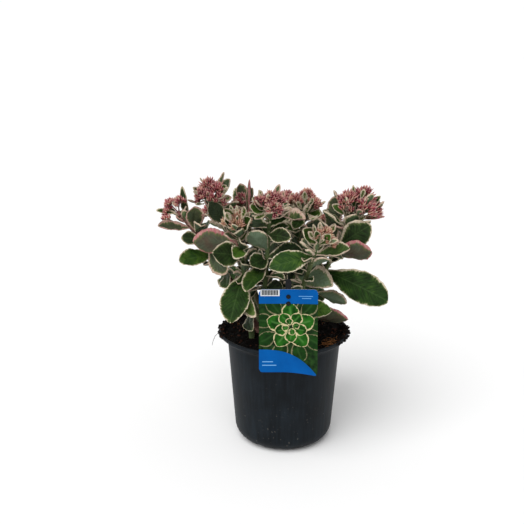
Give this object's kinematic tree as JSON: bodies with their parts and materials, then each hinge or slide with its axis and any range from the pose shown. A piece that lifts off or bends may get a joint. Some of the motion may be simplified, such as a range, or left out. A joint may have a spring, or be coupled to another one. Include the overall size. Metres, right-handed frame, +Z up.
{
  "type": "potted variegated sedum",
  "caption": "Leafy autumn stonecrop with cream-edged fleshy leaves and pink bud heads, in a round black nursery pot with a plain printed label card on a stake.",
  "frame": {"origin": "middle of the pot's flat foot, on the surface that the pot stands on", "axes": "+Z up along the pot's axis; the label card faces -Y; +X to the right seen from the card's side"},
  "size_m": [0.289, 0.2423, 0.353],
  "materials": {
    "pot_plastic": "blue-black recycled polypropylene, thermoformed, faintly streaked and dusty near the foot",
    "compost": "dark damp peat with bark crumbs and root fibres",
    "card": "satin printed card with a blue header and a green leaf print",
    "stake_plastic": "black moulded polypropylene",
    "foliage": "waxy fleshy leaves, green to grey-green, with cream margins tinted pink, on pale green stems",
    "buds": "closed pink buds with cream bases, set in cream-edged bracts"
  },
  "bodies": {
    "root": {"pot": "pot_plastic", "compost": "compost", "label_card": "card", "label_stake": "stake_plastic", "stem_far_left": "foliage", "buds_far_left": "buds", "stem_upper_left": "foliage", "buds_upper_left": "buds", "stem_front_left": "foliage", "buds_front_left": "buds", "stem_middle": "foliage", "buds_middle": "buds", "stem_middle_right": "foliage", "buds_middle_right": "buds", "stem_front_right": "foliage", "buds_front_right": "buds", "stem_right": "foliage", "buds_right": "buds", "stem_inner_back": "foliage", "buds_inner_back": "buds", "stem_back_right": "foliage", "buds_back_right": "buds", "stem_back": "foliage", "buds_back": "buds", "stem_back_left": "foliage", "buds_back_left": "buds"}
  },
  "joints": []
}
